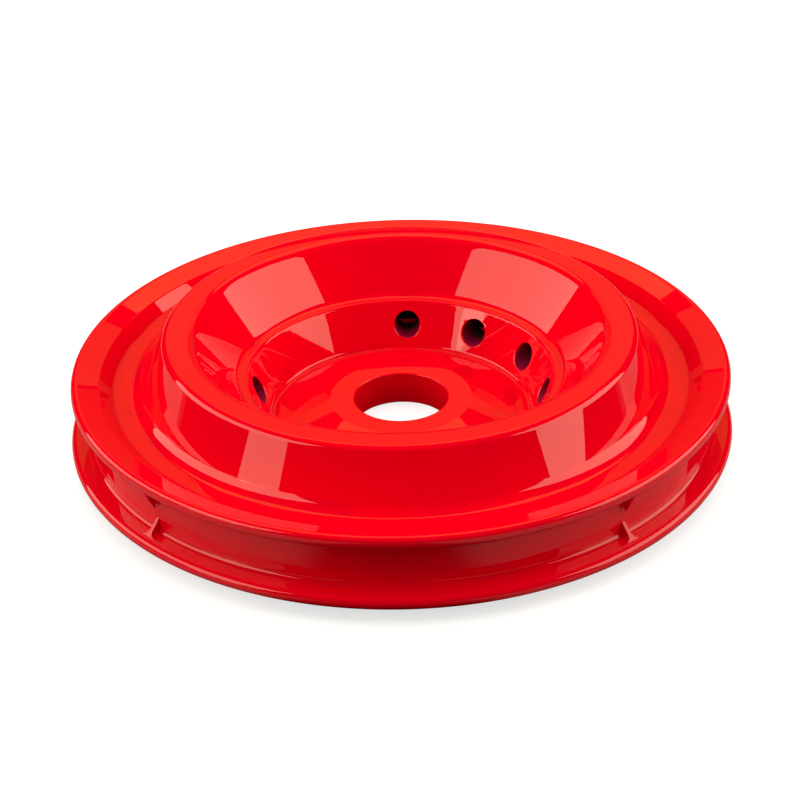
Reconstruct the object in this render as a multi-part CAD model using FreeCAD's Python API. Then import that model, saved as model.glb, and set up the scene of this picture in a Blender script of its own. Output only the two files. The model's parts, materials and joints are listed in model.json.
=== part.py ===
"""Welded steel wheel centre of a wheelbarrow-style portable compressor.

Everything turns about Z. z = 0 is the hub's back face, and +Y runs through the
first of the holes in the cup wall. Sizes are in millimetres and degrees.
"""
import FreeCAD
import Part
import os
from math import cos, hypot, radians, sin, tan

# Rim: two flanges with the tyre groove between them
rim_radius = 110.0
lower_flange_extra = 1.8
upper_flange_thickness = 4.1
upper_flange_slope = 20.0
lower_flange_thickness = 4.0
lower_flange_width = 18.0
flange_edge_radius = 1.9
groove_width = 16.4
groove_depth = 5.5
band_thickness = 3.0

# Channel in the front face, between the upper flange and the dish
flange_width = 9.2
channel_wall_run = 4.2
channel_depth = 4.0
channel_width = 9.0
channel_floor_thickness = 3.0
channel_lap = 5.6
channel_fillet = 1.6

# Dish: outer wall, flat crown and funnel
sheet_thickness = 2.5
dish_wall_angle = 63.3
funnel_angle = 52.3
crown_height = 17.9
crown_width = 9.4
crown_outer_radius = 2.5
crown_inner_radius = 4.5
crown_tail = 1.0

# Cup: drilled ring, domed floor and bored boss
ridge_width = 3.3
ridge_edge_radius = 1.2
cup_taper = 7.5
hole_diameter = 9.1
hole_rise = 1.2
hole_pitch_angle = 30.0
hole_places = 12
undrilled_places = (10, 11)
floor_thickness = 4.0
floor_slope = 16
floor_lift = 2
bore_radius = 16.0
bore_chamfer = 0.6
boss_wall = 8.2
boss_edge_radius = 0.8

# Back
hub_overhang = 4.6
back_plate_thickness = 2.5
back_plate_clearance = 0.5

# Tyre keys: triangular gussets in the groove
key_angle = 42.5
key_reach = 4.4
key_height = 4.7
key_thickness = 1.4
key_foot_edge = 0.2
key_foot_width = 1.6
key_flare_radius = 1.55

# Weld beads
weld_leg = 1.8
cup_weld_leg = 1.5
dish_weld_leg = 3.4

# Radii, worked inwards from the rim
groove_radius = rim_radius - groove_depth
band_inner_radius = groove_radius - band_thickness
lower_flange_radius = rim_radius + lower_flange_extra
lower_flange_inner = lower_flange_radius - lower_flange_width
lip_radius = rim_radius - flange_width
channel_outer_radius = lip_radius - channel_wall_run
dish_base_radius = channel_outer_radius - channel_width
crown_outer_edge = dish_base_radius - crown_height / tan(radians(dish_wall_angle))
crown_inner_edge = crown_outer_edge - crown_width
funnel_foot_radius = crown_inner_edge - crown_height / tan(radians(funnel_angle))
ring_outer_radius = funnel_foot_radius + sheet_thickness / sin(radians(funnel_angle))
cup_top_radius = funnel_foot_radius - ridge_width
cup_floor_radius = cup_top_radius - cup_taper
boss_radius = bore_radius + boss_wall

# Heights, worked upwards from the hub's back face
lower_flange_bottom = hub_overhang
lower_flange_top = lower_flange_bottom + lower_flange_thickness
flange_underside = lower_flange_top + groove_width
flange_rise = tan(radians(upper_flange_slope))
flange_top = flange_underside + upper_flange_thickness / cos(radians(upper_flange_slope))
lip_height = flange_top - flange_width * flange_rise
channel_floor = lip_height - channel_depth
floor_edge_height = floor_lift + floor_thickness
hole_height = (floor_edge_height + channel_floor) / 2 + hole_rise

WHEEL_AXIS = (FreeCAD.Vector(0, 0, 0), FreeCAD.Vector(0, 0, 1))


def underside_height(radius):
    """Height of the upper flange's sloping underside at a radius."""
    return flange_underside - (rim_radius - radius) * flange_rise


def floor_height(radius):
    """Height of the domed floor's top face at a radius."""
    return floor_edge_height + (cup_floor_radius - radius) * tan(radians(floor_slope))


def towards(start, end, distance):
    """Point at a distance from start, on the way to end."""
    length = hypot(end[0] - start[0], end[1] - start[1])
    share = distance / length
    return (start[0] + (end[0] - start[0]) * share, start[1] + (end[1] - start[1]) * share)


def section_edges(corners, place):
    """Edges of a closed outline. A corner (u, v, radius) is rounded; place turns u, v into a vector."""
    edges = []
    previous_end = None
    first_start = None
    for index, corner in enumerate(corners):
        point = corner[:2]
        before = corners[index - 1][:2]
        after = corners[(index + 1) % len(corners)][:2]
        radius = corner[2] if len(corner) > 2 else 0
        start = end = point
        if radius:
            ahead = towards(point, after, 1.0)
            behind = towards(point, before, 1.0)
            half_cos = hypot(ahead[0] + behind[0] - 2 * point[0], ahead[1] + behind[1] - 2 * point[1]) / 2
            half_sin = (1 - half_cos ** 2) ** 0.5
            trim = radius * half_cos / half_sin
            start = towards(point, before, trim)
            end = towards(point, after, trim)
            chord_middle = ((start[0] + end[0]) / 2, (start[1] + end[1]) / 2)
            middle = towards(point, chord_middle, radius / half_sin - radius)
        if previous_end is not None:
            edges.append(Part.LineSegment(place(*previous_end), place(*start)).toShape())
        else:
            first_start = start
        if radius:
            edges.append(Part.Arc(place(*start), place(*middle), place(*end)).toShape())
        previous_end = end
    edges.append(Part.LineSegment(place(*previous_end), place(*first_start)).toShape())
    return edges


def in_wheel_section(radius, height):
    return FreeCAD.Vector(radius, 0, height)


def turned(corners):
    """Ring with the given section of (radius, height, corner radius)."""
    face = Part.Face(Part.Wire(section_edges(corners, in_wheel_section)))
    return face.revolve(*WHEEL_AXIS, 360)


def weld_bead(corner, along_one, along_other, leg):
    """Fillet weld bead in the corner of two ring faces."""
    return turned([corner, towards(corner, along_one, leg), towards(corner, along_other, leg)])


# Dish section, shared by the shell and the funnel
crown_top = channel_floor + crown_height
base_corner = (dish_base_radius, channel_floor)
foot_corner = (funnel_foot_radius, channel_floor)
outer_corner = (crown_outer_edge, crown_top)
inner_corner = (crown_inner_edge, crown_top)
wall_skew = sheet_thickness * tan(radians(dish_wall_angle / 2))
funnel_skew = sheet_thickness * tan(radians(funnel_angle / 2))
outer_corner_inside = (crown_outer_edge - wall_skew, crown_top - sheet_thickness)
inner_corner_inside = (crown_inner_edge + funnel_skew, crown_top - sheet_thickness)
base_inside = (dish_base_radius - sheet_thickness / sin(radians(dish_wall_angle)), channel_floor)
foot_inside = (ring_outer_radius, channel_floor)
seam_distance = crown_inner_radius * tan(radians(funnel_angle / 2)) + crown_tail
seam_outer = towards(inner_corner, foot_corner, seam_distance)
seam_inside = (
    seam_outer[0] + sheet_thickness * sin(radians(funnel_angle)),
    seam_outer[1] - sheet_thickness * cos(radians(funnel_angle)),
)


def upper_rim_pressing():
    """Upper flange and the floor of the front channel, in one pressing."""
    floor_underside = channel_floor - channel_floor_thickness
    bend_radius = channel_outer_radius - (underside_height(channel_outer_radius) - floor_underside)
    return turned([
        (dish_base_radius - channel_lap, floor_underside),
        (dish_base_radius - channel_lap, channel_floor),
        (channel_outer_radius, channel_floor, channel_fillet),
        (lip_radius, lip_height, channel_fillet),
        (rim_radius, flange_top, flange_edge_radius),
        (rim_radius, flange_underside, flange_edge_radius),
        (channel_outer_radius, underside_height(channel_outer_radius)),
        (bend_radius, floor_underside),
    ])


def lower_flange():
    """Lower flange ring. The groove band and the back plate stand on it."""
    return turned([
        (lower_flange_inner, lower_flange_bottom),
        (lower_flange_inner, lower_flange_top),
        (lower_flange_radius, lower_flange_top, flange_edge_radius),
        (lower_flange_radius, lower_flange_bottom, flange_edge_radius),
    ])


def groove_band():
    """Band that joins the flanges and seats the tyre."""
    return turned([
        (band_inner_radius, lower_flange_top),
        (groove_radius, lower_flange_top),
        (groove_radius, underside_height(groove_radius)),
        (band_inner_radius, underside_height(band_inner_radius)),
    ])


def dish_shell():
    """Outer wall of the dish with its flat crown."""
    return turned([
        base_corner,
        outer_corner + (crown_outer_radius,),
        inner_corner + (crown_inner_radius,),
        seam_outer,
        seam_inside,
        inner_corner_inside + (crown_inner_radius - sheet_thickness,),
        outer_corner_inside,
        base_inside,
    ])


def dish_funnel():
    """Funnel from the crown down to the top of the drilled ring."""
    return turned([seam_outer, foot_corner, foot_inside, seam_inside])


def drilled_ring():
    """Thick ring of the cup wall, with its radial holes."""
    ring = turned([
        (ring_outer_radius, floor_lift),
        (ring_outer_radius, channel_floor),
        (cup_top_radius, channel_floor, ridge_edge_radius),
        (cup_floor_radius, floor_edge_height),
        (cup_floor_radius, floor_lift),
    ])
    for place in range(hole_places):
        if place in undrilled_places:
            continue
        turn = radians(place * hole_pitch_angle)
        direction = FreeCAD.Vector(sin(turn), cos(turn), 0)
        start = FreeCAD.Vector(0, 0, hole_height)
        ring = ring.cut(Part.makeCylinder(hole_diameter / 2, rim_radius, start, direction))
    return ring


def hub_floor():
    """Domed floor of the cup, between the drilled ring and the boss."""
    return turned([
        (cup_floor_radius, floor_lift),
        (cup_floor_radius, floor_edge_height),
        (boss_radius, floor_height(boss_radius)),
        (boss_radius, floor_height(boss_radius) - floor_thickness),
    ])


def hub_boss():
    """Bored boss that takes the axle or its bearing."""
    mouth_radius = bore_radius + bore_chamfer
    boss_top = floor_height(boss_radius)
    return turned([
        (bore_radius, bore_chamfer),
        (mouth_radius, 0),
        (boss_radius, 0, boss_edge_radius),
        (boss_radius, boss_top),
        (mouth_radius, boss_top),
        (bore_radius, boss_top - bore_chamfer),
    ])


def back_plate():
    """Plate that closes the hollow behind the dish."""
    outer_radius = band_inner_radius - back_plate_clearance
    return turned([
        (ring_outer_radius, lower_flange_top),
        (ring_outer_radius, lower_flange_top + back_plate_thickness),
        (outer_radius, lower_flange_top + back_plate_thickness),
        (outer_radius, lower_flange_top),
    ])


def dish_weld():
    return weld_bead(base_corner, (rim_radius, channel_floor), outer_corner, dish_weld_leg)


def ridge_weld():
    return weld_bead(foot_corner, (0, channel_floor), inner_corner, cup_weld_leg)


def floor_weld():
    edge = (cup_floor_radius, floor_edge_height)
    return weld_bead(edge, (boss_radius, floor_height(boss_radius)), (cup_top_radius, channel_floor), cup_weld_leg)


def boss_weld():
    height = floor_height(boss_radius) - floor_thickness
    return weld_bead((boss_radius, height), (boss_radius, 0), (cup_floor_radius, floor_lift), weld_leg)


def back_inner_weld():
    corner = (ring_outer_radius, lower_flange_top)
    return weld_bead(corner, (ring_outer_radius, 0), (rim_radius, lower_flange_top), weld_leg)


def back_outer_weld():
    corner = (lower_flange_inner, lower_flange_top)
    return weld_bead(corner, (lower_flange_inner, 0), (0, lower_flange_top), weld_leg)


def lower_groove_weld():
    corner = (groove_radius, lower_flange_top)
    return weld_bead(corner, (rim_radius, lower_flange_top), (groove_radius, flange_underside), weld_leg)


def upper_groove_weld():
    corner = (groove_radius, underside_height(groove_radius))
    return weld_bead(corner, (rim_radius, flange_underside), (groove_radius, lower_flange_top), weld_leg)


def key_blank(height):
    """Gusset standing on a flat face at z = 0, facing +X, with flared feet and a sloping edge."""
    half = key_thickness / 2
    foot = half + key_foot_width
    corners = [
        (-foot, 0),
        (foot, 0),
        (foot, key_foot_edge),
        (half, key_foot_edge, key_flare_radius),
        (half, height),
        (-half, height),
        (-half, key_foot_edge, key_flare_radius),
        (-foot, key_foot_edge),
    ]
    start = groove_radius - band_thickness
    length = band_thickness + key_reach
    edges = section_edges(corners, lambda across, up: FreeCAD.Vector(start, across, up))
    bar = Part.Face(Part.Wire(edges)).extrude(FreeCAD.Vector(length, 0, 0))
    top = FreeCAD.Vector(groove_radius, -foot, height)
    toe = FreeCAD.Vector(groove_radius + key_reach, -foot, 0)
    beyond = FreeCAD.Vector(groove_radius + key_reach, -foot, height)
    offcut = Part.Face(Part.makePolygon([top, toe, beyond, top])).extrude(FreeCAD.Vector(0, 2 * foot, 0))
    return bar.cut(offcut).cut(Part.makeCylinder(groove_radius, height))


def lower_key(turn):
    key = key_blank(key_height)
    key.translate(FreeCAD.Vector(0, 0, lower_flange_top))
    key.rotate(*WHEEL_AXIS, turn)
    return key.cut(lower_groove_weld())


def upper_key(turn):
    """The same gusset under the upper flange, tilted to lie flat on its sloping underside."""
    seat = FreeCAD.Vector(groove_radius, 0, underside_height(groove_radius))
    key = key_blank(key_height)
    key.rotate(*WHEEL_AXIS, 180)
    key.rotate(FreeCAD.Vector(0, 0, 0), FreeCAD.Vector(0, 1, 0), 180)
    key.translate(FreeCAD.Vector(0, 0, seat.z))
    key.rotate(seat, FreeCAD.Vector(0, 1, 0), -upper_flange_slope)
    key = key.cut(upper_rim_pressing()).cut(groove_band()).cut(upper_groove_weld())
    key.rotate(*WHEEL_AXIS, turn)
    return key


def save(name, shape):
    solids = shape.Solids
    if len(solids) != 1 or not shape.isValid():
        raise RuntimeError(name + ": " + str(len(solids)) + " solids, valid " + str(shape.isValid()))
    solids[0].exportStep(os.path.join("parts", name + ".step"))
    print(name, round(solids[0].Volume), "mm3")


os.makedirs("parts", exist_ok=True)
for maker in (
    upper_rim_pressing,
    lower_flange,
    groove_band,
    dish_shell,
    dish_funnel,
    drilled_ring,
    hub_floor,
    hub_boss,
    back_plate,
    dish_weld,
    ridge_weld,
    floor_weld,
    boss_weld,
    back_inner_weld,
    back_outer_weld,
    lower_groove_weld,
    upper_groove_weld,
):
    save(maker.__name__, maker())

# Two keys either side of the front, two either side of the back
key_turns = (270 - key_angle, 270 + key_angle, 90 - key_angle, 90 + key_angle)
for number, turn in enumerate(key_turns, start=1):
    save("lower_key_" + str(number), lower_key(turn))
    save("upper_key_" + str(number), upper_key(turn))
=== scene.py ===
import json
from math import cos, hypot, pi, radians, sin, tan

import bmesh
import bpy
from bpy.props import FloatProperty, FloatVectorProperty, IntProperty, PointerProperty
from mathutils import Matrix, Quaternion, Vector


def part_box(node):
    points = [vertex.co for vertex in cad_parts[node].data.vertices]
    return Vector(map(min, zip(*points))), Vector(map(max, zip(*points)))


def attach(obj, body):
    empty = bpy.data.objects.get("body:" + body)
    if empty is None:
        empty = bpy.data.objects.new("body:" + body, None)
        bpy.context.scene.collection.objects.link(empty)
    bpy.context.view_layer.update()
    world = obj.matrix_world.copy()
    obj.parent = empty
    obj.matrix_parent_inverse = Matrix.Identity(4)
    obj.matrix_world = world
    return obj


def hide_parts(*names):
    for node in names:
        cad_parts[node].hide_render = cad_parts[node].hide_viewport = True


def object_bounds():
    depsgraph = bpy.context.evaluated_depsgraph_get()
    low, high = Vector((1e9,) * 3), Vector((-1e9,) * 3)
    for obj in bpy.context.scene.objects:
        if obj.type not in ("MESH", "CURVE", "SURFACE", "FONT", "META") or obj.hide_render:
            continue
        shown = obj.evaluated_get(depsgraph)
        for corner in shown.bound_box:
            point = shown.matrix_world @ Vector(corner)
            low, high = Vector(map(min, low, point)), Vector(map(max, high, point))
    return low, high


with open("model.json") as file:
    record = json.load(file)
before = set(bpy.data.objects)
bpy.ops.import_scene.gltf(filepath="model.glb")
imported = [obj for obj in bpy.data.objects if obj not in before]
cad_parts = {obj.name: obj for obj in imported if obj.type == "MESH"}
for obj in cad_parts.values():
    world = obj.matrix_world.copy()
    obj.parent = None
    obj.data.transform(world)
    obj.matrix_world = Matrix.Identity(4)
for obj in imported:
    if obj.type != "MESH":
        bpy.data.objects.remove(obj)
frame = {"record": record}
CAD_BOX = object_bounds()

bl_info = {
    "name": "Compressor Wheel Centre",
    "version": (1, 0, 0),
    "blender": (4, 5, 0),
    "location": "View3D > Sidebar > Wheel",
    "description": "Builds the painted pieces of a small steel wheel centre and a plain studio round it",
    "category": "Object",
}

BODY = "root"
MM = 0.001
WHEEL_AXIS = (0, 0, 1)
HUB_CENTRE = (0, 0, 0)


def outer_radius(node):
    """Largest radius of a round CAD node."""
    low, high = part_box(node)
    return max(high.x, high.y, -low.x, -low.y)


def base_of(node):
    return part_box(node)[0].z


def top_of(node):
    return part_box(node)[1].z


def mount(name):
    return next(m for m in frame["record"]["mounts"] if m["name"] == name)


# ---------------------------------------------------------------- sizes and colours

def length(name, description, default):
    return FloatProperty(
        name=name, description=description, default=default, min=0.0, unit="LENGTH", precision=5)


def turn_angle(name, description, degrees):
    return FloatProperty(name=name, description=description, default=radians(degrees), subtype="ANGLE")


def share(name, description, default):
    return FloatProperty(
        name=name, description=description, default=default, min=0.0, max=1.0, subtype="FACTOR")


def colour(name, description, default):
    return FloatVectorProperty(
        name=name, description=description, default=default, size=3, min=0.0, max=1.0, subtype="COLOR")


class WheelRimSizes(bpy.types.PropertyGroup):
    """Sizes of the flanges, the tyre groove and the channel."""
    flange_slope: turn_angle("Flange slope", "Slope of the upper flange towards the lip", 20)
    flange_thickness: length("Flange thickness", "Sheet thickness of the upper flange", 4.1 * MM)
    edge_radius: length("Edge radius", "Rounding of both flange edges", 1.9 * MM)
    groove_width: length("Groove width", "Gap between the flanges at the rim", 16.4 * MM)
    band_thickness: length("Band thickness", "Thickness of the wall in the tyre groove", 3.0 * MM)
    flange_width: length("Flange width", "From the rim in to the lip", 9.2 * MM)
    channel_wall_run: length("Channel wall run", "From the lip in to the channel floor", 4.2 * MM)
    channel_lap: length("Channel lap", "How far the channel floor reaches under the dish", 5.6 * MM)
    floor_thickness: length("Channel floor thickness", "Thickness of the channel floor", 3.0 * MM)
    bend_radius: length("Bend radius", "Rounding of the lip and of the channel", 1.6 * MM)


class WheelDishSizes(bpy.types.PropertyGroup):
    """Sizes of the dish, the cup and the hub."""
    sheet: length("Sheet thickness", "Sheet thickness of the dish", 2.5 * MM)
    wall_angle: turn_angle("Wall angle", "Slope of the dish's outer wall", 63.3)
    funnel_angle: turn_angle("Funnel angle", "Slope of the funnel", 52.3)
    crown_outer: length("Crown outer radius", "Rounding of the crown's outer edge", 2.5 * MM)
    crown_inner: length("Crown inner radius", "Rounding of the crown's inner edge", 4.5 * MM)
    crown_width: length("Crown width", "Width of the crown between its sharp corners", 9.4 * MM)
    crown_tail: length("Crown tail", "Straight length of the shell past the crown", 1.0 * MM)
    ridge_width: length("Ridge width", "Flat ridge between the funnel and the cup", 3.3 * MM)
    ridge_radius: length("Ridge radius", "Rounding of the ridge's inner edge", 1.2 * MM)
    hole_diameter: length("Hole diameter", "Diameter of the holes in the cup wall", 9.1 * MM)
    hole_edge: length("Hole edge", "Rounding of the painted hole edges", 0.45 * MM)
    floor_thickness: length("Floor thickness", "Thickness of the cup's floor", 4.0 * MM)
    bore_chamfer: length("Bore chamfer", "Chamfer at both mouths of the bore", 0.6 * MM)
    boss_edge: length("Boss edge", "Rounding of the boss's lower edge", 0.8 * MM)


class WheelKeySizes(bpy.types.PropertyGroup):
    """Sizes of the tyre keys."""
    angle: turn_angle("Key angle", "Angle of each key from the front or the back", 42.5)
    reach: length("Key reach", "How far a key's foot runs out along the flange", 4.4 * MM)
    height: length("Key height", "How far a key climbs the groove wall", 4.7 * MM)
    thickness: length("Key thickness", "Thickness of a key above its flared foot", 1.4 * MM)
    flare: length("Key flare", "Width of the flare on each side of a key's foot", 1.6 * MM)


class WheelMeshing(bpy.types.PropertyGroup):
    """Fineness of the meshes."""
    turn_steps: IntProperty(name="Steps", description="Steps in a full turn", default=288, min=48)
    bend_steps: IntProperty(name="Bend steps", description="Steps in a rounded corner", default=8, min=2)
    hole_steps: IntProperty(name="Hole steps", description="Steps round a hole", default=64, min=16)


class WheelFinish(bpy.types.PropertyGroup):
    """Colours and gloss."""
    enamel: colour("Enamel", "Body colour of the enamel", (0.88, 0.0, 0.0095))
    enamel_deep: colour("Deep enamel", "Colour where the enamel lies thick", (0.70, 0.0, 0.013))
    bare_steel: colour("Bare steel", "Unpainted steel in the hollow behind the dish", (0.085, 0.078, 0.055))
    roughness: share("Roughness", "Roughness of the enamel under its gloss", 0.32)
    gloss_roughness: share("Gloss roughness", "Roughness of the gloss coat", 0.02)
    peel: length("Orange peel", "Depth of the orange peel", 0.004 * MM)
    wave: length("Wave", "Depth of the long waves in the sheet", 0.05 * MM)
    floor: colour("Floor", "Colour of the studio floor", (0.93, 0.93, 0.93))


SETTINGS = {
    "wheel_rim_sizes": WheelRimSizes,
    "wheel_dish_sizes": WheelDishSizes,
    "wheel_key_sizes": WheelKeySizes,
    "wheel_meshing": WheelMeshing,
    "wheel_finish": WheelFinish,
}


# ---------------------------------------------------------------- shader recipes

class Wire:
    """A shader socket that can be used in sums."""

    def __init__(self, recipe, socket):
        self.recipe = recipe
        self.socket = socket

    def _sum(self, operation, first, second):
        return self.recipe.node("ShaderNodeMath", {"operation": operation}, {0: first, 1: second})

    def __add__(self, other):
        return self._sum("ADD", self, other)

    __radd__ = __add__

    def __mul__(self, other):
        return self._sum("MULTIPLY", self, other)

    __rmul__ = __mul__

    def __sub__(self, other):
        return self._sum("SUBTRACT", self, other)

    def __rsub__(self, other):
        return self._sum("SUBTRACT", other, self)

    def __truediv__(self, other):
        return self._sum("DIVIDE", self, other)

    def __rtruediv__(self, other):
        return self._sum("DIVIDE", other, self)


class Recipe:
    """A material's node tree, built one node at a time."""

    def __init__(self, name):
        self.material = bpy.data.materials.new(name)
        self.material.use_nodes = True
        self.tree = self.material.node_tree
        self.tree.nodes.clear()

    def node(self, kind, settings=None, inputs=None, output=0):
        """Adds a node: settings first, then the values or wires of its sockets. Returns one output."""
        made = self.tree.nodes.new(kind)
        for name, value in (settings or {}).items():
            setattr(made, name, value)
        for name, value in (inputs or {}).items():
            if isinstance(value, Wire):
                self.tree.links.new(value.socket, made.inputs[name])
            else:
                made.inputs[name].default_value = value
        return Wire(self, made.outputs[output])

    def place(self):
        """Object coordinates, in metres."""
        return self.node("ShaderNodeTexCoord", output="Object")

    def noise(self, place, scale, detail=2.0, roughness=0.5):
        inputs = {"Vector": place, "Scale": scale, "Detail": detail, "Roughness": roughness}
        return self.node("ShaderNodeTexNoise", {"noise_dimensions": "3D"}, inputs)

    def ramp(self, factor, low, high):
        """0 below low, 1 above high and smooth between."""
        inputs = {"Value": factor, "From Min": low, "From Max": high, "To Min": 0.0, "To Max": 1.0}
        return self.node("ShaderNodeMapRange", {"interpolation_type": "SMOOTHSTEP"}, inputs)

    def blend(self, factor, first, second):
        """A colour between two. The Mix node's colour sockets are 6 and 7 in and 2 out."""
        inputs = {0: factor, 6: (*first, 1.0), 7: (*second, 1.0)}
        return self.node("ShaderNodeMix", {"data_type": "RGBA", "blend_type": "MIX"}, inputs, 2)

    def bump(self, height, depth, beneath=None):
        inputs = {"Height": height, "Strength": 1.0, "Distance": depth}
        if beneath is not None:
            inputs["Normal"] = beneath
        return self.node("ShaderNodeBump", None, inputs)

    def finish(self, **inputs):
        """The surface shader, joined to the output."""
        named = {name.replace("_", " "): value for name, value in inputs.items()}
        shader = self.node("ShaderNodeBsdfPrincipled", None, named)
        end = self.tree.nodes.new("ShaderNodeOutputMaterial")
        self.tree.links.new(shader.socket, end.inputs["Surface"])
        return self.material


def once(name, make):
    """The named material, made on first use."""
    found = bpy.data.materials.get(name)
    return found if found else make(name)


def red_enamel(name):
    """High-gloss red enamel over steel, with orange peel and slight waves in the sheet."""
    finish = bpy.context.scene.wheel_finish
    recipe = Recipe(name)
    place = recipe.place()
    cloud = recipe.noise(place, 22.0, 3.0)
    mottle = recipe.noise(place, 400.0, 2.0)
    depth = recipe.ramp(cloud * 0.8 + mottle * 0.2, 0.35, 0.75)
    body = recipe.blend(depth * 0.5, finish.enamel, finish.enamel_deep)
    waves = recipe.bump(recipe.noise(place, 26.0, 1.0), finish.wave)
    peel = recipe.bump(recipe.noise(place, 850.0, 1.0), finish.peel, waves)
    nibs = recipe.ramp(recipe.noise(place, 620.0, 0.0), 0.80, 0.86)
    surface = recipe.bump(nibs, finish.peel * 2, peel)
    return recipe.finish(
        Base_Color=body,
        Roughness=finish.roughness + mottle * 0.06,
        Specular_IOR_Level=0.0,
        Coat_Weight=1.0,
        Coat_Roughness=finish.gloss_roughness,
        Coat_IOR=1.5,
        Normal=surface,
    )


def weld_enamel(name):
    """The same enamel over a dressed weld: a little more uneven."""
    finish = bpy.context.scene.wheel_finish
    recipe = Recipe(name)
    place = recipe.place()
    cloud = recipe.noise(place, 60.0, 3.0)
    body = recipe.blend(recipe.ramp(cloud, 0.3, 0.7) * 0.6, finish.enamel, finish.enamel_deep)
    lumps = recipe.bump(recipe.noise(place, 170.0, 2.0), finish.wave * 0.5)
    peel = recipe.bump(recipe.noise(place, 850.0, 1.0), finish.peel, lumps)
    return recipe.finish(
        Base_Color=body,
        Roughness=finish.roughness + cloud * 0.08,
        Specular_IOR_Level=0.0,
        Coat_Weight=1.0,
        Coat_Roughness=finish.gloss_roughness,
        Coat_IOR=1.5,
        Normal=peel,
    )


def hollow_steel(name):
    """Bare dark steel of the hollow behind the dish, with mill scale and a bloom of dull oil."""
    finish = bpy.context.scene.wheel_finish
    recipe = Recipe(name)
    place = recipe.place()
    scale_mask = recipe.ramp(recipe.noise(place, 180.0, 4.0, 0.6), 0.42, 0.62)
    body = recipe.blend(scale_mask, finish.bare_steel, [channel * 0.55 for channel in finish.bare_steel])
    return recipe.finish(
        Base_Color=body,
        Metallic=0.3 + scale_mask * 0.2,
        Roughness=0.7 - scale_mask * 0.15,
        Normal=recipe.bump(scale_mask, 0.02 * MM),
    )


def hole_shade(name):
    """Thin crimson overspray at the mouth of each hole, fading to bare dark steel; the dark crimson is also
    painted shade inside the hole.
    """
    recipe = Recipe(name)
    place = recipe.place()
    flat = recipe.node("ShaderNodeVectorMath", {"operation": "MULTIPLY"}, {0: place, 1: (1.0, 1.0, 0.0)})
    radius = recipe.node("ShaderNodeVectorMath", {"operation": "LENGTH"}, {0: flat}, "Value")
    mottle = recipe.noise(place, 500.0, 3.0)
    # Painted shade: darker with distance into the hole, from dark crimson to near-black steel.
    depth = recipe.ramp(radius + mottle * (1.2 * MM), 51.0 * MM, 57.0 * MM)
    return recipe.finish(
        Base_Color=recipe.blend(depth, (0.24, 0.0, 0.03), (0.06, 0.035, 0.022)),
        Roughness=0.45 + mottle * 0.3,
        Specular_IOR_Level=0.2,
        Normal=recipe.bump(mottle, 0.01 * MM),
    )


def studio_floor(name):
    """Plain pale floor, lit from within like a light table, with a very faint grain."""
    recipe = Recipe(name)
    grain = recipe.noise(recipe.place(), 300.0, 2.0)
    pale = bpy.context.scene.wheel_finish.floor
    body = recipe.blend(grain, [channel * 0.5 for channel in pale], [channel * 0.48 for channel in pale])
    return recipe.finish(
        Base_Color=body,
        Roughness=0.8,
        Specular_IOR_Level=0.0,
        Emission_Color=(*pale, 1.0),
        Emission_Strength=0.72,
    )


def bounce_sheet(name):
    """Grey sheet hidden from the camera, with black painted shadow in front of the wheel and under its hub.
    """
    recipe = Recipe(name)
    place = recipe.place()
    across = recipe.node("ShaderNodeSeparateXYZ", None, {0: place}, "X")
    along = recipe.node("ShaderNodeSeparateXYZ", None, {0: place}, "Y")
    side = recipe.node("ShaderNodeMath", {"operation": "ABSOLUTE"}, {0: across})
    # Painted shadow: black patches in front of the wheel and under the hub, where the sheet would lie in
    # shade.
    front_painted_shadow = (1 - recipe.ramp(side, 24 * MM, 48 * MM)) * recipe.ramp(0 - along, 60 * MM, 100 * MM)
    from_hub = recipe.node("ShaderNodeVectorMath", {"operation": "LENGTH"}, {0: place}, "Value")
    hub_painted_shadow = 1 - recipe.ramp(from_hub, 40 * MM, 60 * MM)
    return recipe.finish(
        # The second colour is the black of the painted shadow.
        Base_Color=recipe.blend(front_painted_shadow + hub_painted_shadow, (0.52, 0.52, 0.52), (0.012, 0.010, 0.012)),
        Roughness=0.9,
        Specular_IOR_Level=0.0,
    )


# ---------------------------------------------------------------- mesh helpers

def towards(start, end, distance):
    """Point (radius, height) at a distance from start, on the way to end."""
    span = hypot(end[0] - start[0], end[1] - start[1])
    return (
        start[0] + (end[0] - start[0]) * distance / span,
        start[1] + (end[1] - start[1]) * distance / span,
    )


def round_corner(bm, vert, radius, steps):
    """Rounds one corner of an outline to a radius."""
    one, other = (edge.other_vert(vert).co - vert.co for edge in vert.link_edges)
    half_turn = (pi - one.angle(other)) / 2
    bmesh.ops.bevel(
        bm, geom=[vert], affect="VERTICES", offset=radius * tan(half_turn), offset_type="OFFSET",
        segments=steps, profile=0.5, material=-1, clamp_overlap=False)


def draw_outline(bm, corners, steps):
    """Closed outline in the XZ plane through (radius, height, rounding) corners."""
    verts = [bm.verts.new((corner[0], 0, corner[1])) for corner in corners]
    bm.faces.new(verts)
    for vert, corner in zip(verts, corners):
        if len(corner) > 2 and corner[2] > 0:
            round_corner(bm, vert, corner[2], steps)
    return bm.edges[:]


def spin_outline(bm, corners):
    """Turns an outline of (radius, height, rounding) corners about the wheel's axis."""
    meshing = bpy.context.scene.wheel_meshing
    edges = draw_outline(bm, corners, meshing.bend_steps)
    bmesh.ops.delete(bm, geom=bm.faces[:], context="FACES_ONLY")
    bmesh.ops.spin(
        bm, geom=bm.verts[:] + edges, cent=HUB_CENTRE, axis=WHEEL_AXIS, dvec=(0, 0, 0), angle=2 * pi,
        steps=meshing.turn_steps, use_merge=True, use_normal_flip=False, use_duplicate=False)
    bmesh.ops.recalc_face_normals(bm, faces=bm.faces[:])


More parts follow.
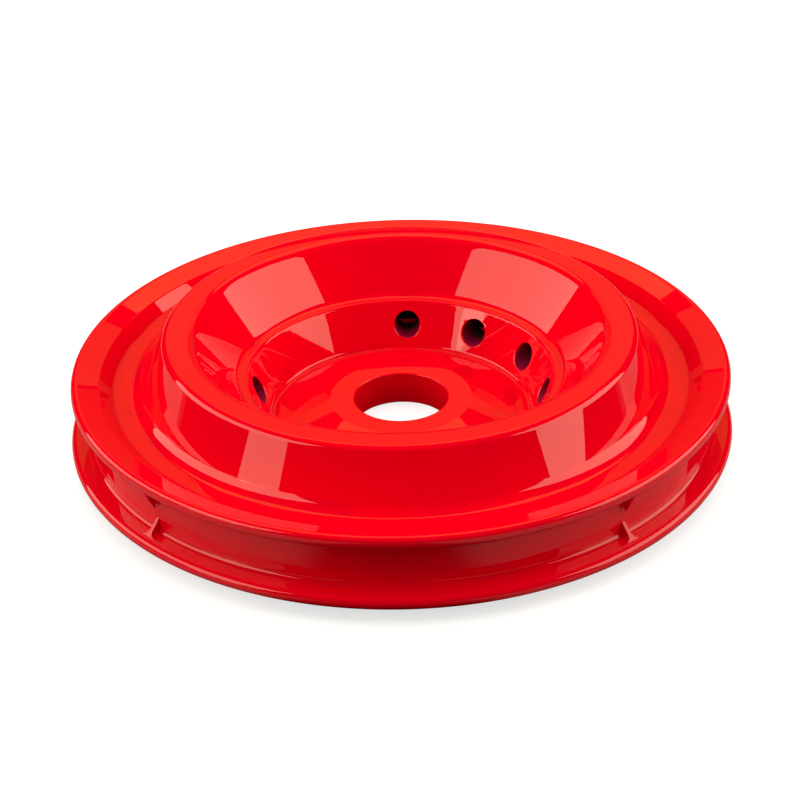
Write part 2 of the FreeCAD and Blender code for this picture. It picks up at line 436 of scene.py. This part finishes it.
def make_piece(name, bm, replaced, materials):
    """Turns a finished bmesh into a smooth-shaded piece that stands for CAD nodes."""
    mesh = bpy.data.meshes.new(name)
    bm.to_mesh(mesh)
    bm.free()
    mesh.shade_smooth()
    mesh.set_sharp_from_angle(angle=radians(38))
    for material in materials:
        mesh.materials.append(material)
    piece = bpy.data.objects.new(name, mesh)
    bpy.context.scene.collection.objects.link(piece)
    weighting = piece.modifiers.new("even_gloss", "WEIGHTED_NORMAL")
    weighting.keep_sharp = True
    weighting.weight = 90
    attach(piece, BODY)
    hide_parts(*replaced)


def paint_faces(bm, chosen, slot_number=1):
    """Gives another material to the faces chosen by centre radius, height and normal."""
    for face in bm.faces:
        middle = face.calc_center_median()
        outward = Vector((middle.x, middle.y, 0)).normalized()
        lean = face.normal.dot(outward)
        if chosen(hypot(middle.x, middle.y), middle.z, lean, face.normal.z):
            face.material_index = slot_number


def turned_piece(name, corners, replaced, hidden=None):
    """A piece made by turning one outline. Faces chosen by hidden are left bare."""
    bm = bmesh.new()
    spin_outline(bm, corners)
    materials = [once("red_enamel", red_enamel)]
    if hidden:
        paint_faces(bm, hidden)
        materials.append(once("hollow_steel", hollow_steel))
    make_piece(name, bm, replaced, materials)


# ---------------------------------------------------------------- where the faces lie

class Layout:
    """Radii and heights of the wheel, from the packed frame and the sizes."""

    def __init__(self, scene):
        rim = scene.wheel_rim_sizes
        dish = scene.wheel_dish_sizes
        self.rim_radius = outer_radius("upper_rim_pressing")
        self.lower_radius = outer_radius("lower_flange")
        self.lower_bottom = base_of("lower_flange")
        self.lower_top = top_of("lower_flange")
        self.lower_inner = outer_radius("back_outer_weld")
        self.groove_radius = outer_radius("groove_band")
        self.band_inner = self.groove_radius - rim.band_thickness
        self.flange_rise = tan(rim.flange_slope)
        self.flange_underside = self.lower_top + rim.groove_width
        self.flange_top = self.flange_underside + rim.flange_thickness / cos(rim.flange_slope)
        self.lip_radius = self.rim_radius - rim.flange_width
        self.lip_height = self.flange_top - rim.flange_width * self.flange_rise
        self.channel_outer = self.lip_radius - rim.channel_wall_run
        self.channel_floor = base_of("dish_shell")
        self.dish_base = outer_radius("dish_shell")
        self.crown_top = top_of("dish_shell")
        height = self.crown_top - self.channel_floor
        self.crown_outer = self.dish_base - height / tan(dish.wall_angle)
        self.crown_inner = self.crown_outer - dish.crown_width
        self.ring_outer = outer_radius("drilled_ring")
        self.funnel_foot = self.ring_outer - dish.sheet / sin(dish.funnel_angle)
        self.cup_top = self.funnel_foot - dish.ridge_width
        self.cup_floor = outer_radius("hub_floor")
        self.floor_low = base_of("hub_floor")
        self.floor_edge = self.floor_low + dish.floor_thickness
        self.boss_radius = outer_radius("hub_boss")
        self.boss_top = top_of("hub_boss")
        self.bore_radius = mount("bore")["dims"]["r_mm"] * MM

    def underside(self, radius):
        """Height of the upper flange's sloping underside at a radius."""
        return self.flange_underside - (self.rim_radius - radius) * self.flange_rise

    def cup_wall(self, height):
        """Radius of the cup's wall at a height."""
        climb = (height - self.floor_edge) / (self.channel_floor - self.floor_edge)
        return self.cup_floor + (self.cup_top - self.cup_floor) * climb


# ---------------------------------------------------------------- pieces

class WHEEL_OT_upper_rim(bpy.types.Operator):
    """Make the upper flange and the channel floor"""
    bl_idname = "wheel.upper_rim"
    bl_label = "Upper rim pressing"

    def execute(self, context):
        at = Layout(context.scene)
        sizes = context.scene.wheel_rim_sizes
        lap_radius = at.dish_base - sizes.channel_lap
        floor_underside = at.channel_floor - sizes.floor_thickness
        knee = at.channel_outer - (at.underside(at.channel_outer) - floor_underside)
        turned_piece("upper_rim", [
            (lap_radius, floor_underside),
            (lap_radius, at.channel_floor),
            (at.channel_outer, at.channel_floor, sizes.bend_radius),
            (at.lip_radius, at.lip_height, sizes.bend_radius),
            (at.rim_radius, at.flange_top, sizes.edge_radius),
            (at.rim_radius, at.flange_underside, sizes.edge_radius),
            (at.channel_outer, at.underside(at.channel_outer)),
            (knee, floor_underside),
        ], ["upper_rim_pressing"], hidden=lambda r, z, lean, rise: (
            r < at.band_inner and rise < -0.1 or r < lap_radius + MM))
        return {"FINISHED"}


class WHEEL_OT_lower_flange(bpy.types.Operator):
    """Make the lower flange ring"""
    bl_idname = "wheel.lower_flange"
    bl_label = "Lower flange"

    def execute(self, context):
        at = Layout(context.scene)
        edge = context.scene.wheel_rim_sizes.edge_radius
        turned_piece("lower_flange_ring", [
            (at.lower_inner, at.lower_bottom, 0.6 * MM),
            (at.lower_inner, at.lower_top),
            (at.lower_radius, at.lower_top, edge),
            (at.lower_radius, at.lower_bottom, edge),
        ], ["lower_flange"])
        return {"FINISHED"}


class WHEEL_OT_groove_band(bpy.types.Operator):
    """Make the wall at the bottom of the tyre groove"""
    bl_idname = "wheel.groove_band"
    bl_label = "Groove band"

    def execute(self, context):
        at = Layout(context.scene)
        turned_piece("tyre_seat_band", [
            (at.band_inner, at.lower_top),
            (at.groove_radius, at.lower_top),
            (at.groove_radius, at.underside(at.groove_radius)),
            (at.band_inner, at.underside(at.band_inner)),
        ], ["groove_band"], hidden=lambda r, z, lean, rise: lean < -0.5)
        return {"FINISHED"}


def dish_seam(at, sizes):
    """Ends of the joint between the dish's shell and funnel, on the funnel's face and under it."""
    foot = (at.funnel_foot, at.channel_floor)
    inner = (at.crown_inner, at.crown_top)
    face = towards(inner, foot, sizes.crown_inner * tan(sizes.funnel_angle / 2) + sizes.crown_tail)
    underneath = (
        face[0] + sizes.sheet * sin(sizes.funnel_angle),
        face[1] - sizes.sheet * cos(sizes.funnel_angle),
    )
    return face, underneath


class WHEEL_OT_dish_shell(bpy.types.Operator):
    """Make the dish's outer wall and crown"""
    bl_idname = "wheel.dish_shell"
    bl_label = "Dish shell"

    def execute(self, context):
        at = Layout(context.scene)
        sizes = context.scene.wheel_dish_sizes
        seam, seam_inside = dish_seam(at, sizes)
        below = at.crown_top - sizes.sheet
        inner_bend = at.crown_inner + sizes.sheet * tan(sizes.funnel_angle / 2)
        turned_piece("dish_shell_skin", [
            (at.dish_base, at.channel_floor),
            (at.crown_outer, at.crown_top, sizes.crown_outer),
            (at.crown_inner, at.crown_top, sizes.crown_inner),
            seam,
            seam_inside,
            (inner_bend, below, sizes.crown_inner - sizes.sheet),
            (at.crown_outer - sizes.sheet * tan(sizes.wall_angle / 2), below),
            (at.dish_base - sizes.sheet / sin(sizes.wall_angle), at.channel_floor),
        ], ["dish_shell"], hidden=lambda r, z, lean, rise: rise < 0)
        return {"FINISHED"}


class WHEEL_OT_dish_funnel(bpy.types.Operator):
    """Make the funnel between the crown and the cup"""
    bl_idname = "wheel.dish_funnel"
    bl_label = "Dish funnel"

    def execute(self, context):
        at = Layout(context.scene)
        seam, seam_inside = dish_seam(at, context.scene.wheel_dish_sizes)
        turned_piece("dish_funnel_skin", [
            seam,
            (at.funnel_foot, at.channel_floor),
            (at.ring_outer, at.channel_floor),
            seam_inside,
        ], ["dish_funnel"], hidden=lambda r, z, lean, rise: rise < 0)
        return {"FINISHED"}


def wall_patch(bm, turn, radius_at, at, half_angle, hole_radius, steps, rows):
    """One stretch of the ring's wall with a round hole or none, facing a turn. Returns the hole's edges."""
    half_height = (at.channel_floor - at.floor_edge) / 2
    middle = at.channel_floor - half_height
    half_width = radius_at(middle) * half_angle
    rim_verts = bmesh.ops.create_circle(bm, cap_ends=False, radius=1.0, segments=steps)["verts"]
    rim_edges = list({edge for vert in rim_verts for edge in vert.link_edges})
    patch = []
    edges = rim_edges
    verts = rim_verts
    for row in range(rows + 1):
        if row:
            grown = bmesh.ops.extrude_edge_only(bm, edges=edges)["geom"]
            edges = [item for item in grown if isinstance(item, bmesh.types.BMEdge)]
            verts = [item for item in grown if isinstance(item, bmesh.types.BMVert)]
        share_out = (row / rows) ** 1.4
        for vert in verts:
            way = vert.co.normalized()
            at_hole = hole_radius / hypot(way.x * half_width, way.y * half_height)
            at_frame = 1 / max(abs(way.x), abs(way.y))
            vert.co = way * (at_hole + (at_frame - at_hole) * share_out)
        patch.extend(verts)
    for vert in patch:
        angle = turn + vert.co.x * half_angle
        height = middle + vert.co.y * half_height
        radius = radius_at(height)
        vert.co = (radius * sin(angle), radius * cos(angle), height)
    return rim_edges


class WHEEL_OT_drilled_ring(bpy.types.Operator):
    """Make the cup wall with its radial holes"""
    bl_idname = "wheel.drilled_ring"
    bl_label = "Drilled ring"

    hole_places = 12
    undrilled = (10, 11)

    def execute(self, context):
        at = Layout(context.scene)
        sizes = context.scene.wheel_dish_sizes
        steps = context.scene.wheel_meshing.hole_steps
        half_angle = pi / self.hole_places
        walls = (at.cup_wall, lambda height: at.ring_outer)
        bm = bmesh.new()
        for place in range(self.hole_places):
            drilled = place not in self.undrilled
            hole_radius = sizes.hole_diameter / 2 if drilled else 0.001 * MM
            rims = [
                wall_patch(bm, 2 * half_angle * place, wall, at, half_angle, hole_radius, steps, 8)
                for wall in walls
            ]
            if drilled:
                bmesh.ops.bridge_loops(bm, edges=rims[0] + rims[1])
        bmesh.ops.remove_doubles(bm, verts=bm.verts[:], dist=0.005 * MM)
        self.close_ends(bm, at)
        bmesh.ops.recalc_face_normals(bm, faces=bm.faces[:])
        self.round_edges(bm, at, sizes)
        mouth = sizes.hole_edge + 0.3 * MM
        clear = MM
        # Faces deep inside the holes get hole_shade, whose darkening is painted shade.
        paint_faces(bm, lambda r, z, lean, rise: (
            r > at.cup_wall(z) + mouth and at.floor_edge + clear < z < at.channel_floor - clear), 2)
        paint_faces(bm, lambda r, z, lean, rise: r > at.ring_outer - MM / 100 and z > at.lower_top)
        materials = [
            once("red_enamel", red_enamel),
            once("hollow_steel", hollow_steel),
            once("hole_shade", hole_shade),
        ]
        make_piece("drilled_cup_wall", bm, ["drilled_ring"], materials)
        return {"FINISHED"}

    @staticmethod
    def loop_at(bm, at, height, inner):
        """Open edges at a height, on the inner or the outer wall."""
        between_walls = (at.cup_top + at.ring_outer) / 2
        found = []
        for edge in bm.edges:
            middle = (edge.verts[0].co + edge.verts[1].co) / 2
            at_height = abs(middle.z - height) < 0.01 * MM
            is_inner = hypot(middle.x, middle.y) < between_walls
            if edge.is_boundary and at_height and is_inner == inner:
                found.append(edge)
        return found

    def carry(self, bm, edges, spread, drop):
        """Extrudes edges, widens them about the axis and lowers them. Returns the new edges."""
        grown = bmesh.ops.extrude_edge_only(bm, edges=edges)["geom"]
        verts = [item for item in grown if isinstance(item, bmesh.types.BMVert)]
        bmesh.ops.scale(bm, verts=verts, vec=(spread, spread, 1))
        bmesh.ops.translate(bm, verts=verts, vec=(0, 0, -drop))
        return [item for item in grown if isinstance(item, bmesh.types.BMEdge)]

    def close_ends(self, bm, at):
        """Joins the two walls over the top and round the foot."""
        drop = at.floor_edge - at.floor_low
        self.carry(bm, self.loop_at(bm, at, at.channel_floor, True), at.ring_outer / at.cup_top, 0)
        foot = self.carry(bm, self.loop_at(bm, at, at.floor_edge, True), 1, drop)
        self.carry(bm, self.loop_at(bm, at, at.floor_edge, False), 1, drop)
        self.carry(bm, foot, at.ring_outer / at.cup_floor, 0)
        bmesh.ops.remove_doubles(bm, verts=bm.verts[:], dist=0.005 * MM)

    @staticmethod
    def round_edges(bm, at, sizes):
        """Rounds the ridge and the edges of the holes."""
        ridge = []
        hole_edges = []
        for edge in bm.edges:
            if len(edge.link_faces) != 2 or edge.calc_face_angle() < radians(35):
                continue
            middle = (edge.verts[0].co + edge.verts[1].co) / 2
            radius = hypot(middle.x, middle.y)
            if abs(middle.z - at.channel_floor) < 0.01 * MM and radius < at.funnel_foot:
                ridge.append(edge)
            elif at.floor_edge + MM < middle.z < at.channel_floor - MM and radius < at.funnel_foot:
                hole_edges.append(edge)
        for edges, radius, steps in ((ridge, sizes.ridge_radius * 0.65, 6), (hole_edges, sizes.hole_edge, 4)):
            bmesh.ops.bevel(
                bm, geom=edges, affect="EDGES", offset=radius, offset_type="OFFSET", segments=steps,
                profile=0.5, material=-1, clamp_overlap=False)


class WHEEL_OT_hub_floor(bpy.types.Operator):
    """Make the domed floor of the cup"""
    bl_idname = "wheel.hub_floor"
    bl_label = "Hub floor"

    def execute(self, context):
        at = Layout(context.scene)
        thickness = context.scene.wheel_dish_sizes.floor_thickness
        turned_piece("cup_floor", [
            (at.cup_floor, at.floor_low),
            (at.cup_floor, at.floor_edge),
            (at.boss_radius, at.boss_top),
            (at.boss_radius, at.boss_top - thickness),
        ], ["hub_floor"])
        return {"FINISHED"}


class WHEEL_OT_hub_boss(bpy.types.Operator):
    """Make the bored boss"""
    bl_idname = "wheel.hub_boss"
    bl_label = "Hub boss"

    def execute(self, context):
        at = Layout(context.scene)
        sizes = context.scene.wheel_dish_sizes
        turned_piece("bored_boss", [
            (at.bore_radius, 0, sizes.bore_chamfer),
            (at.boss_radius, 0, sizes.boss_edge),
            (at.boss_radius, at.boss_top),
            (at.bore_radius, at.boss_top, sizes.bore_chamfer),
        ], ["hub_boss"])
        return {"FINISHED"}


class WHEEL_OT_back_plate(bpy.types.Operator):
    """Make the plate that closes the back"""
    bl_idname = "wheel.back_plate"
    bl_label = "Back plate"

    def execute(self, context):
        at = Layout(context.scene)
        top = top_of("back_plate")
        radius = outer_radius("back_plate")
        turned_piece("closing_plate", [
            (at.ring_outer, at.lower_top),
            (at.ring_outer, top),
            (radius, top, 0.4 * MM),
            (radius, at.lower_top),
        ], ["back_plate"], hidden=lambda r, z, lean, rise: rise > 0.1 or lean > 0.1)
        return {"FINISHED"}


def weld_bead(name, node, corner, along_one, along_other, leg, ripples=0, ripple_depth=0.0):
    """A bead with a hollow face in the corner of two ring faces."""
    meshing = bpy.context.scene.wheel_meshing
    bm = bmesh.new()
    toes = [towards(corner, along_one, leg), towards(corner, along_other, leg)]
    first, second = (Vector(toe) - Vector(corner) for toe in toes)
    half = first.angle(second) / 2
    radius = leg * tan(half)
    centre = Vector(corner) + (first + second).normalized() * (radius / sin(half))
    start = Vector(toes[0]) - centre
    sweep = pi - 2 * half
    sign = 1 if start.cross(Vector(toes[1]) - centre) > 0 else -1
    verts = [bm.verts.new((corner[0], 0, corner[1]))]
    for step in range(meshing.bend_steps + 1):
        spoke = Matrix.Rotation(sign * sweep * step / meshing.bend_steps, 2) @ start
        verts.append(bm.verts.new((centre.x + spoke.x, 0, centre.y + spoke.y)))
    edges = [bm.edges.new(pair) for pair in zip(verts, verts[1:] + verts[:1])]
    steps = meshing.turn_steps * (2 if ripples else 1)
    bmesh.ops.spin(
        bm, geom=verts + edges, cent=HUB_CENTRE, axis=WHEEL_AXIS, dvec=(0, 0, 0), angle=2 * pi,
        steps=steps, use_merge=True, use_normal_flip=False, use_duplicate=False)
    bmesh.ops.recalc_face_normals(bm, faces=bm.faces[:])
    if ripples:
        ripple(bm, corner, centre, ripples, ripple_depth)
    make_piece(name, bm, [node], [once("weld_enamel", weld_enamel)])


def ripple(bm, corner, centre, count, depth):
    """Waves round a bead, deepest in the middle of its face."""
    face_way = (centre - Vector(corner)).normalized()
    for vert in bm.verts:
        radius = hypot(vert.co.x, vert.co.y)
        from_corner = (Vector((radius, vert.co.z)) - Vector(corner)).length
        if from_corner < 0.01 * MM:
            continue
        angle = Vector((vert.co.x, vert.co.y)).angle_signed(Vector((1, 0)), 0)
        push = depth * (0.5 + 0.5 * sin(angle * count))
        vert.co += Vector((vert.co.x, vert.co.y, 0)).normalized() * face_way.x * push
        vert.co.z += face_way.y * push


class WHEEL_OT_weld_beads(bpy.types.Operator):
    """Make the weld beads in the corners between the pieces"""
    bl_idname = "wheel.weld_beads"
    bl_label = "Weld beads"

    def execute(self, context):
        at = Layout(context.scene)
        leg = outer_radius("lower_groove_weld") - at.groove_radius
        ridge_flat = 1.8 * MM
        cup_leg = at.funnel_foot - at.cup_top - ridge_flat
        dish_leg = outer_radius("dish_weld") - at.dish_base
        rim = at.rim_radius
        crown = (at.crown_outer, at.crown_top)
        weld_bead("dish_bead", "dish_weld", (at.dish_base, at.channel_floor), (rim, at.channel_floor),
                  crown, dish_leg)
        weld_bead("ridge_bead", "ridge_weld", (at.funnel_foot, at.channel_floor), (0, at.channel_floor),
                  (at.crown_inner, at.crown_top), cup_leg)
        weld_bead("floor_bead", "floor_weld", (at.cup_floor, at.floor_edge), (at.boss_radius, at.boss_top),
                  (at.cup_top, at.channel_floor), cup_leg)
        weld_bead("lower_groove_bead", "lower_groove_weld", (at.groove_radius, at.lower_top),
                  (rim, at.lower_top), (at.groove_radius, rim), leg)
        seat = at.underside(at.groove_radius)
        weld_bead("upper_groove_bead", "upper_groove_weld", (at.groove_radius, seat),
                  (rim, at.flange_underside), (at.groove_radius, 0), leg)
        boss_foot = at.boss_top - context.scene.wheel_dish_sizes.floor_thickness
        weld_bead("boss_bead", "boss_weld", (at.boss_radius, boss_foot), (at.boss_radius, 0),
                  (at.cup_floor, at.floor_low), leg, 72, 0.12 * MM)
        weld_bead("back_inner_bead", "back_inner_weld", (at.ring_outer, at.lower_top), (at.ring_outer, 0),
                  (rim, at.lower_top), leg, 144, 0.12 * MM)
        weld_bead("back_outer_bead", "back_outer_weld", (at.lower_inner, at.lower_top), (at.lower_inner, 0),
                  (0, at.lower_top), leg, 216, 0.12 * MM)
        return {"FINISHED"}


def key_blank(bm, sizes, groove_radius, steps):
    """Gusset facing +X on a flat face at z = 0, with flared feet and a sloping edge."""
    half = sizes.thickness / 2
    foot = half + sizes.flare
    rise = 0.15 * MM
    root = 1.0 * MM
    start = groove_radius - root
    corners = [
        (-foot, 0, 0), (foot, 0, 0), (foot, rise, 0), (half, rise, sizes.flare * 0.97),
        (half * 0.6, sizes.height * 1.2, half * 0.3), (-half * 0.6, sizes.height * 1.2, half * 0.3),
        (-half, rise, sizes.flare * 0.97), (-foot, rise, 0),
    ]
    verts = [bm.verts.new((start, across, up)) for across, up, _ in corners]
    bm.faces.new(verts)
    for vert, corner in zip(verts, corners):
        if corner[2]:
            round_corner(bm, vert, corner[2], steps)
    made = bmesh.ops.extrude_face_region(bm, geom=bm.faces[:])["geom"]
    moved = [item for item in made if isinstance(item, bmesh.types.BMVert)]
    bmesh.ops.translate(bm, verts=moved, vec=(root + sizes.reach, 0, 0))
    slope = Vector((sizes.height, 0, sizes.reach)).normalized()
    cut = bmesh.ops.bisect_plane(
        bm, geom=bm.verts[:] + bm.edges[:] + bm.faces[:], dist=1e-7,
        plane_co=(groove_radius, 0, sizes.height), plane_no=slope, clear_outer=True)
    open_edges = [item for item in cut["geom_cut"] if isinstance(item, bmesh.types.BMEdge)]
    sloping = bmesh.ops.edgenet_fill(bm, edges=open_edges)["faces"]
    bmesh.ops.recalc_face_normals(bm, faces=bm.faces[:])
    border = [
        edge for face in sloping for edge in face.edges
        if min(vert.co.z for vert in edge.verts) > rise * 2 and edge.calc_face_angle(0) > radians(50)
    ]
    bmesh.ops.bevel(
        bm, geom=border, affect="EDGES", offset=0.2 * MM, offset_type="OFFSET", segments=3,
        profile=0.5, material=-1, clamp_overlap=True)


class WHEEL_OT_tyre_keys(bpy.types.Operator):
    """Make the triangular keys that stop the tyre creeping"""
    bl_idname = "wheel.tyre_keys"
    bl_label = "Tyre keys"

    def execute(self, context):
        at = Layout(context.scene)
        sizes = context.scene.wheel_key_sizes
        slope = context.scene.wheel_rim_sizes.flange_slope
        turns = (-pi / 2 - sizes.angle, -pi / 2 + sizes.angle, pi / 2 - sizes.angle, pi / 2 + sizes.angle)
        seat = Vector((at.groove_radius, 0, at.underside(at.groove_radius)))
        lower = Matrix.Translation((0, 0, at.lower_top))
        upper = (
            Matrix.Translation(seat) @ Matrix.Rotation(-slope, 4, "Y") @ Matrix.Scale(-1, 4, (0, 0, 1))
            @ Matrix.Translation((-at.groove_radius, 0, 0)))
        for number, turn in enumerate(turns, start=1):
            for side, placing in (("lower", lower), ("upper", upper)):
                bm = bmesh.new()
                key_blank(bm, sizes, at.groove_radius, 5)
                placed = Matrix.Rotation(turn, 4, "Z") @ placing
                bmesh.ops.transform(bm, matrix=placed, verts=bm.verts[:])
                bmesh.ops.recalc_face_normals(bm, faces=bm.faces[:])
                name = side + "_tyre_key_" + str(number)
                make_piece(name, bm, [side + "_key_" + str(number)], [once("red_enamel", red_enamel)])
        return {"FINISHED"}


# ---------------------------------------------------------------- studio

# Metres and degrees, with the lens in millimetres. The turn comes last, about the wheel's axis
CAMERA_SIDE = -0.0004
CAMERA_BACK = 0.51283
CAMERA_HEIGHT = 0.30879
CAMERA_ELEVATION = 30.2
CAMERA_ROLL = -1.52
CAMERA_TURN = 3.5
CAMERA_LENS = 78.03


def make_camera():
    """Camera in front of the wheel, a little to its right and looking down on it."""
    data = bpy.data.cameras.new("studio_camera")
    data.lens = CAMERA_LENS
    data.sensor_width = 36.0
    data.clip_start = 0.01
    data.clip_end = 50.0
    camera = bpy.data.objects.new("studio_camera", data)
    bpy.context.scene.collection.objects.link(camera)
    bpy.context.scene.camera = camera
    turn = Matrix.Rotation(radians(CAMERA_TURN), 4, "Z")
    stand = Matrix.Translation((CAMERA_SIDE, -CAMERA_BACK, CAMERA_HEIGHT))
    tilt = Matrix.Rotation(radians(90 - CAMERA_ELEVATION), 4, "X")
    roll = Matrix.Rotation(radians(CAMERA_ROLL), 4, "Z")
    camera.matrix_world = turn @ stand @ (tilt @ roll)


def softbox(name, azimuth, elevation, distance, width, height, watts, tint=(1.0, 1.0, 1.0), lean=0.0):
    """Rectangular light facing the wheel. Azimuth runs clockwise from the back, seen from above."""
    data = bpy.data.lights.new(name, "AREA")
    data.shape = "RECTANGLE"
    data.size = width
    data.size_y = height
    data.energy = watts
    data.color = tint
    light = bpy.data.objects.new(name, data)
    bpy.context.scene.collection.objects.link(light)
    turn = radians(azimuth)
    rise = radians(elevation)
    way = Vector((sin(turn) * cos(rise), cos(turn) * cos(rise), sin(rise)))
    light.location = way * distance + Vector((0, 0, 0.03))
    light.rotation_mode = "QUATERNION"
    light.rotation_quaternion = Quaternion(way, radians(lean)) @ way.to_track_quat("Z", "Y")
    return light


def round_ground(name, height, material):
    """Large round sheet that belongs to the stage."""
    bm = bmesh.new()
    bmesh.ops.create_circle(bm, cap_ends=True, radius=6.0, segments=96)
    mesh = bpy.data.meshes.new(name)
    bm.to_mesh(mesh)
    bm.free()
    mesh.materials.append(material)
    ground = bpy.data.objects.new(name, mesh)
    bpy.context.scene.collection.objects.link(ground)
    ground.location.z = height
    return ground


def make_world():
    """Dim white surroundings that light the wheel but don't show in its gloss."""
    world = bpy.data.worlds.new("studio_world")
    bpy.context.scene.world = world
    world.use_nodes = True
    world.node_tree.nodes["Background"].inputs["Color"].default_value = (1.0, 1.0, 1.0, 1.0)
    world.node_tree.nodes["Background"].inputs["Strength"].default_value = 0.2
    world.cycles_visibility.glossy = False


class WHEEL_OT_studio(bpy.types.Operator):
    """Make the floor, the lights and the camera"""
    bl_idname = "wheel.studio"
    bl_label = "Studio"

    def execute(self, context):
        low = CAD_BOX[0].z
        floor = round_ground("studio_floor", low, once("studio_floor", studio_floor))
        floor.visible_glossy = False
        floor.visible_diffuse = False
        bounce = round_ground("bounce_sheet", low - 0.2 * MM, once("bounce_sheet", bounce_sheet))
        bounce.visible_camera = False
        warm = (1.0, 0.97, 0.78)
        amber = (1.0, 0.95, 0.3)
        softbox("left_softbox", -98, 30, 1.2, 1.78, 0.72, 10.6, warm, 12)
        softbox("left_strip", -124, 14, 1.2, 0.38, 0.23, 0.62, warm)
        softbox("right_softbox", 87.2, 27, 1.2, 1.34, 0.84, 9.8, warm)
        softbox("back_softbox", -3.5, 55, 1.6, 1.1, 0.8, 2.1, amber)
        softbox("back_glow", -3.5, 31, 2.0, 1.6, 0.45, 0.56, amber)
        softbox("low_glow", -3.5, 14, 2.0, 1.6, 0.7, 0.28, amber)
        fill = softbox("overhead_fill", 0, 80, 1.3, 1.8, 1.8, 15.5)
        fill.visible_glossy = False
        make_world()
        make_camera()
        context.scene.view_settings.view_transform = "Standard"
        return {"FINISHED"}


# ---------------------------------------------------------------- panel and registration

PIECE_OPERATORS = (
    WHEEL_OT_upper_rim,
    WHEEL_OT_lower_flange,
    WHEEL_OT_groove_band,
    WHEEL_OT_dish_shell,
    WHEEL_OT_dish_funnel,
    WHEEL_OT_drilled_ring,
    WHEEL_OT_hub_floor,
    WHEEL_OT_hub_boss,
    WHEEL_OT_back_plate,
    WHEEL_OT_weld_beads,
    WHEEL_OT_tyre_keys,
    WHEEL_OT_studio,
)


class WHEEL_PT_panel(bpy.types.Panel):
    """Lists the pieces and their sizes"""
    bl_label = "Wheel centre"
    bl_idname = "WHEEL_PT_panel"
    bl_space_type = "VIEW_3D"
    bl_region_type = "UI"
    bl_category = "Wheel"

    def draw(self, context):
        for operator in PIECE_OPERATORS:
            self.layout.operator(operator.bl_idname)
        for name, group in SETTINGS.items():
            box = self.layout.box()
            box.label(text=group.__doc__)
            for item in group.__annotations__:
                box.prop(getattr(context.scene, name), item)


def register():
    for name, group in SETTINGS.items():
        bpy.utils.register_class(group)
        setattr(bpy.types.Scene, name, PointerProperty(type=group))
    for operator in PIECE_OPERATORS:
        bpy.utils.register_class(operator)
    bpy.utils.register_class(WHEEL_PT_panel)


def unregister():
    bpy.utils.unregister_class(WHEEL_PT_panel)
    for operator in reversed(PIECE_OPERATORS):
        bpy.utils.unregister_class(operator)
    for name, group in SETTINGS.items():
        delattr(bpy.types.Scene, name)
        bpy.utils.unregister_class(group)


def main():
    register()
    for operator in PIECE_OPERATORS:
        getattr(bpy.ops.wheel, operator.bl_idname.split(".")[1])()


if __name__ == "__main__":
    main()
